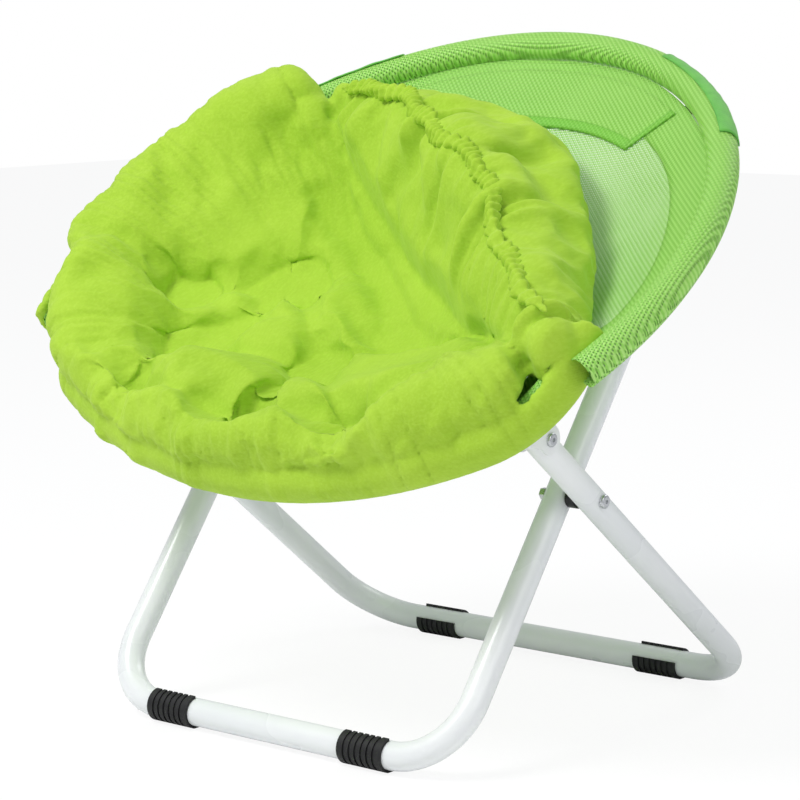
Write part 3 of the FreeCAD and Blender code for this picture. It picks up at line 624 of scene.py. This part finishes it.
def arch_spans(first):
    return [(arch_point(-arch_inset, 0.0), arch_turn - first, 14),
            (arch_point(0.0, front_depth - arch_crown), math.pi - 2.0 * arch_turn, 56),
            (arch_point(arch_inset, 0.0), arch_turn - first, 14)]


def pucker_patch(shape):
    """Small puckers that run round the rim: each point moves away from the rim's centre line."""
    for point in shape.verts:
        across, run, rise = in_ring(point.co)
        away = (point.co - on_hoop(math.atan2(run, across))).normalized()
        grain = noise.noise(Vector((3.0, 0.0, 0.0)) + point.co / patch_pucker_length)
        point.co += away * (patch_pucker_depth * max(grain, -0.2))


def rim_sleeves():
    shape = rear_cloth(sleeve_start, 180.0 - sleeve_start, sleeve_radius)
    rear = make_piece("rear_sleeve", shape, mesh_double, "green_mesh_border", "mesh_rear_sleeve")
    shape = front_cloth(front_sleeve_depth, sleeve_radius)
    front = make_piece("front_sleeve", shape, mesh_double, "green_mesh_border", "mesh_front_sleeve")
    return [thicken(rear, sleeve_wall, -1.0), thicken(front, sleeve_wall, -1.0)]


def rim_patches():
    made = []
    for side, start in (("right", patch_start), ("left", 180.0 - patch_end)):
        end = start + patch_end - patch_start
        shape = rear_cloth(start, end, sleeve_radius + patch_wall, patch_low, patch_high, 16, 0.004)
        pucker_patch(shape)
        patch = make_piece("rim_patch_" + side, shape, patch_green, "green_patch_cloth", "mesh_patch_" + side)
        made.append(thicken(patch, 0.0012, -1.0))
    return made


fold_out = (math.cos(fold_angle), math.sin(fold_angle))


def fold_place(across, run):
    """Distance from the fold's foot line and place along it."""
    return across * fold_out[0] + run * fold_out[1], across * fold_out[1] - run * fold_out[0]


def ridge(station):
    """Offset of the ridge from the middle and its height over the mesh, at a place along the fold."""
    share = min(max((station - fold_start) / (fold_end - fold_start), 0.0), 1.0)
    swell = math.sin(math.pi * share)
    width = fold_end_width + fold_bulge * swell
    wander = 0.006 * math.sin(31.0 * station) + 0.003 * math.sin(83.0 * station + 1.0)
    return fold_distance + width / 2.0 + wander, fold_end_height + fold_bulge * swell


def from_fold(offset, station):
    return fold_out[0] * offset + fold_out[1] * station, fold_out[1] * offset - fold_out[0] * station


def segment_distance(across, run, first, second):
    along = (second[0] - first[0], second[1] - first[1])
    length = math.hypot(*along)
    share = ((across - first[0]) * along[0] + (run - first[1]) * along[1]) / (length * length)
    share = min(max(share, 0.0), 1.0)
    return math.hypot(across - first[0] - along[0] * share, run - first[1] - along[1] * share)


def merged_copy(*names):
    shape = bmesh.new()
    for name in names:
        shape.from_mesh(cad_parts[name].data)
    bmesh.ops.remove_doubles(shape, verts=shape.verts, dist=weld)
    return shape


def remeshed(made, size):
    """The piece as one even skin of small squares."""
    skin = made.modifiers.new("skin", "REMESH")
    skin.mode = "VOXEL"
    skin.voxel_size = size
    apply_all(made)


def apply_all(made):
    graph = bpy.context.evaluated_depsgraph_get()
    fresh = bpy.data.meshes.new_from_object(made.evaluated_get(graph))
    made.modifiers.clear()
    old = made.data
    made.data = fresh
    bpy.data.meshes.remove(old)


def puff(made, held):
    """Cloth under pressure, held at the stitches and on the side that lies on the mesh."""
    before = [point.co.copy() for point in made.data.vertices]
    group = made.vertex_groups.new(name="held")
    group.add(held, 1.0, "REPLACE")
    cloth = made.modifiers.new("puff", "CLOTH")
    settings = cloth.settings
    settings.quality = 5
    settings.mass = 0.15
    settings.tension_stiffness = 12.0
    settings.compression_stiffness = 12.0
    settings.bending_stiffness = 0.35
    settings.use_pressure = True
    settings.uniform_pressure_force = 3.0
    settings.shrink_min = -0.07
    settings.vertex_group_mass = "held"
    settings.effector_weights.gravity = 0.0
    cloth.collision_settings.use_collision = False
    for number in range(1, puff_frames + 1):
        bpy.context.scene.frame_set(number)
    apply_all(made)
    made.vertex_groups.clear()
    for point, start in zip(made.data.vertices, before):
        moved = point.co - start
        if moved.length > puff_limit:
            point.co = start + moved * (puff_limit / moved.length)


def crease_depth(across, run):
    """How far the quilting draws the pad in: stitches, valleys between them and short pleats."""
    depth = 0.0
    for place in tufts:
        distance = math.hypot(across - place[0], run - place[1])
        turn = math.atan2(run - place[1], across - place[0])
        pit = stitch_pit * math.exp(-distance / stitch_pit_reach)
        depth = max(depth, pit + stitch_dip * math.exp(-(distance / stitch_dip_reach) ** 2))
        pleat = 0.5 + 0.5 * math.cos(7.0 * turn + 9.0 * place[0] * 30.0)
        fade = math.exp(-(distance / stitch_pleat_reach) ** 2) * smooth_step(0.0, 0.012, distance)
        depth += stitch_pleat * pleat * pleat * fade
    valley = 0.0
    for first, second in tuft_links:
        distance = segment_distance(across, run, tufts[first], tufts[second])
        narrow = valley_line * math.exp(-(distance / valley_line_reach) ** 2)
        valley = max(valley, narrow + valley_dip * math.exp(-(distance / valley_dip_reach) ** 2))
    return depth + valley


def hollow(place):
    """The bowl: the pad thins away from the rim, and the peeled part spreads over the mesh."""
    across, run, rise = in_ring(place)
    over = rise - mesh_height(across, run)
    offset, station = fold_place(across, run)
    on_fold = smooth_step(fold_distance - 0.004, fold_distance + 0.002, offset)
    thin = 1.0 - bowl_thinning * smooth_step(0.030, 0.125, inward_of_rim(across, run)) * (1.0 - on_fold)
    line_offset = ridge(station)[0]
    if offset > line_offset:
        share = min(max((station - fold_start) / fold_span, 0.0), 1.0)
        offset += (offset - line_offset) * fold_spread * math.sin(math.pi * share)
    station += fold_stretch * smooth_step(stretch_start, fold_end, station) * on_fold
    if on_fold > 0.5:
        across, run = from_fold(offset, station)
    return on_ring(across, run, mesh_height(across, run) + over * thin)


def cushion():
    made = make_piece("cushion", merged_copy("cushion_pad", "cushion_fold"), cotton, "lime_cotton",
                      "cushion_pad", "cushion_fold", "cushion_pocket_left", "cushion_pocket_right",
                      "cushion_pocket_front")
    remeshed(made, puff_voxel)
    for point in made.data.vertices:
        point.co = hollow(point.co)
    made.data.update()
    held = []
    for number, point in enumerate(made.data.vertices):
        across, run, rise = in_ring(point.co)
        over = rise - mesh_height(across, run)
        facing = point.normal.dot(up_way)
        stitched = any(math.hypot(across - place[0], run - place[1]) < 0.006 for place in tufts)
        offset, station = fold_place(across, run)
        shift = fold_stretch * smooth_step(stretch_start, fold_end + fold_stretch, station)
        line_offset, line_height = ridge(station - shift)
        in_channel = abs(offset - line_offset) < 0.007 and over > line_height - 0.016
        if facing < -0.15 or over < 0.009 or (stitched and facing > 0.0) or in_channel:
            held.append(number)
    puff(made, held)
    shape = bmesh.new()
    cushion_roll(shape)
    shape.from_mesh(made.data)
    shape.to_mesh(made.data)
    shape.free()
    remeshed(made, voxel)
    shape = bmesh.new()
    shape.from_mesh(made.data)
    for smoothing in range(smoothings):
        bmesh.ops.smooth_vert(shape, verts=shape.verts, factor=0.5, use_axis_x=True, use_axis_y=True,
                              use_axis_z=True)
    shape.normal_update()
    moves = [point.normal * cloth_move(point) for point in shape.verts]
    for point, move in zip(shape.verts, moves):
        point.co += move
    shape.to_mesh(made.data)
    shape.free()
    made.data.polygons.foreach_set("use_smooth", [True] * len(made.data.polygons))
    made.data.materials.clear()
    made.data.materials.append(cotton)
    return made


def cloth_move(point):
    """How far the quilting, the gathers and the stuffing move a point of the cushion's skin."""
    across, run, rise = in_ring(point.co)
    facing = point.normal.dot(up_way)
    over = rise - mesh_height(across, run)
    free = smooth_step(-0.1, 0.35, facing) * smooth_step(0.004, 0.014, over)
    offset, station = fold_place(across, run)
    on_fold = smooth_step(fold_distance - 0.012, fold_distance + 0.004, offset)
    crease = min(crease_depth(across, run), max(over - 0.008, 0.0))
    move = -crease * (1.0 - on_fold) * free
    line_offset, line_height = ridge(station)
    from_line = math.hypot(offset - line_offset, max(line_height - over, 0.0) * 0.8)
    wave = noise.noise(Vector((station * 17.0, offset * 6.0, 0.3)))
    fine = noise.noise(Vector((station * 95.0, offset * 14.0, rise * 14.0)))
    broad = noise.noise(Vector((station * 34.0 + 2.0 * wave, offset * 9.0, rise * 9.0)))
    gather = fine_gather * fine * math.exp(-(from_line / fine_gather_reach) ** 2)
    gather += broad_gather * broad * math.exp(-(from_line / broad_gather_reach) ** 2)
    move += gather * on_fold * smooth_step(0.010, 0.030, over)
    lump = noise.noise(point.co * 11.0) * broad_lump
    lump += noise.noise(point.co * 27.0 + Vector((5.0, 0.0, 0.0))) * small_lump
    move += lump * smooth_step(0.008, 0.03, over) * smooth_step(-0.5, 0.2, facing)
    reach = math.hypot(across + 0.02, run + 0.02)
    turn = math.atan2(run + 0.02, across + 0.02)
    pucker = noise.noise(Vector((turn * 9.0, reach * 5.0, 2.0)))
    pleat = 1.0 - abs(noise.noise(Vector((turn * 21.0, reach * 9.0, 6.0 + rise * 4.0)))) * 2.2
    rim_band = smooth_step(0.16, 0.24, reach) * (1.0 - on_fold) * smooth_step(-0.75, -0.1, facing)
    move += (rim_pucker * pucker - rim_pleat * max(pleat, 0.0) ** 3) * rim_band
    on_roll = rise - rim_height(run) < 0.024 and inward_of_rim(across, run) < 0.02
    return max(move, -0.0012) if on_roll else move


def inward_of_rim(across, run):
    return rim_reach(round(math.atan2(run, across), 2), 0.0) - math.hypot(across, run)


def gathered_hem():
    """The elastic channel on the ridge: a puckered tube that wanders along it."""
    shape = bmesh.new()
    bmesh.ops.create_grid(shape, x_segments=420, y_segments=18, size=0.5)
    first, last = fold_start + 0.030, fold_end - 0.014
    for point in shape.verts:
        station = first + (last - first) * (point.co.x + 0.5)
        shift = fold_stretch * smooth_step(stretch_start, fold_end, station)
        turn = 2.0 * math.pi * (point.co.y + 0.5)
        offset, height = ridge(station)
        wave = noise.noise(Vector((station * 24.0, 8.0, 0.0)))
        pleat = math.sin(2.0 * math.pi * (station / hem_pleat_length + 0.8 * wave))
        knot = noise.noise(Vector((station * 60.0, 2.0, 5.0 + 0.6 * math.cos(turn))))
        ripple = math.sin(3.0 * turn + station * 90.0)
        radius = hem_radius + hem_pleat * pleat + hem_knot * knot + hem_ripple * ripple
        taper = smooth_step(0.0, 0.02, station - first) * smooth_step(0.0, 0.02, last - station)
        radius *= 0.25 + 0.75 * taper
        across, run = from_fold(offset + radius * math.cos(turn) * 1.15, station + shift)
        lift = mesh_height(across, run) + 0.003 + height + 0.0045 + 0.003 * wave
        point.co = on_ring(across, run, lift + radius * math.sin(turn))
    bmesh.ops.remove_doubles(shape, verts=shape.verts, dist=0.00005)
    rims = [edge for edge in shape.edges if edge.is_boundary]
    bmesh.ops.holes_fill(shape, edges=rims, sides=0)
    return make_piece("cushion_elastic_hem", shape, cotton, "lime_cotton", "cushion_hem")


seat = seat_mesh()
border = mesh_border()
panel, hems = headrest()
sleeves = rim_sleeves()
patches = rim_patches()
pad = cushion()
hem = gathered_hem()

[border] + sleeves + patches
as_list(hems)


world_light = 0.48
floor_glow = 1.03
floor_glow_share = 0.86


def studio():
    """White floor and surroundings; the camera sees them white, and the floor keeps the chair's shadow."""
    world = bpy.data.worlds.new("studio")
    bpy.context.scene.world = world
    world.use_nodes = True
    tree = world.node_tree
    tree.nodes.clear()
    output = tree.nodes.new("ShaderNodeOutputWorld")
    light = tree.nodes.new("ShaderNodeBackground")
    seen = tree.nodes.new("ShaderNodeBackground")
    mix = tree.nodes.new("ShaderNodeMixShader")
    path = tree.nodes.new("ShaderNodeLightPath")
    light.inputs["Color"].default_value = (0.93, 0.96, 1.0, 1.0)
    light.inputs["Strength"].default_value = world_light
    seen.inputs["Color"].default_value = (1.0, 1.0, 1.0, 1.0)
    seen.inputs["Strength"].default_value = 1.0
    tree.links.new(path.outputs["Is Camera Ray"], mix.inputs[0])
    tree.links.new(light.outputs[0], mix.inputs[1])
    tree.links.new(seen.outputs[0], mix.inputs[2])
    tree.links.new(mix.outputs[0], output.inputs["Surface"])

    bpy.ops.mesh.primitive_plane_add(size=14.0, location=(0.0, 0.0, -0.0005))
    floor = bpy.context.object
    floor.name = "floor"
    paint = bpy.data.materials.new("floor_white")
    paint.use_nodes = True
    tree = paint.node_tree
    tree.nodes.clear()
    output = tree.nodes.new("ShaderNodeOutputMaterial")
    matt = tree.nodes.new("ShaderNodeBsdfDiffuse")
    glow = tree.nodes.new("ShaderNodeEmission")
    mix = tree.nodes.new("ShaderNodeMixShader")
    path = tree.nodes.new("ShaderNodeLightPath")
    scale = tree.nodes.new("ShaderNodeMath")
    scale.operation = "MULTIPLY"
    scale.inputs[1].default_value = floor_glow_share
    matt.inputs["Color"].default_value = (0.9, 0.9, 0.9, 1.0)
    glow.inputs["Strength"].default_value = floor_glow
    tree.links.new(path.outputs["Is Camera Ray"], scale.inputs[0])
    tree.links.new(scale.outputs[0], mix.inputs[0])
    tree.links.new(matt.outputs[0], mix.inputs[1])
    tree.links.new(glow.outputs[0], mix.inputs[2])
    tree.links.new(mix.outputs[0], output.inputs["Surface"])
    floor.data.materials.append(paint)

    def softbox(name, place, target, size, power):
        lamp = bpy.data.lights.new(name, "AREA")
        lamp.shape = "DISK"
        lamp.size = size
        lamp.energy = power
        holder = bpy.data.objects.new(name, lamp)
        bpy.context.scene.collection.objects.link(holder)
        holder.location = place
        holder.rotation_euler = (Vector(target) - Vector(place)).to_track_quat("-Z", "Y").to_euler()
    softbox("key", (-0.7, -1.5, 2.4), (0.0, 0.0, 0.35), 1.1, 46.0)
    softbox("fill", (2.2, -0.6, 1.4), (0.0, 0.0, 0.35), 1.6, 10.0)
    softbox("back", (0.4, 2.2, 2.0), (0.0, 0.0, 0.4), 1.4, 12.0)


# The photograph's camera: the first two in pixels, then its turns in degrees and its place
focal_length = 2598.0
picture_width = 800.0
camera_turns = (39.8, 8.4, -0.6)
camera_place = (1.4990, -1.8063, 0.6284)


def photograph_camera():
    azimuth, elevation, roll = (math.radians(degrees) for degrees in camera_turns)
    level = math.cos(elevation)
    back = Vector((math.sin(azimuth) * level, -math.cos(azimuth) * level, math.sin(elevation)))
    right = Vector((math.cos(azimuth), math.sin(azimuth), 0.0))
    up = back.cross(right)
    rolled_right = right * math.cos(roll) + up * math.sin(roll)
    rolled_up = up * math.cos(roll) - right * math.sin(roll)
    data = bpy.data.cameras.new("photograph")
    data.sensor_width = 36.0
    data.lens = focal_length / picture_width * data.sensor_width
    data.clip_start = 0.05
    data.clip_end = 50.0
    camera = bpy.data.objects.new("photograph", data)
    bpy.context.scene.collection.objects.link(camera)
    turn = Matrix((rolled_right, rolled_up, back)).transposed().to_4x4()
    camera.matrix_world = Matrix.Translation(camera_place) @ turn
    bpy.context.scene.camera = camera


studio()
photograph_camera()
bpy.context.scene.view_settings.view_transform = "Standard"
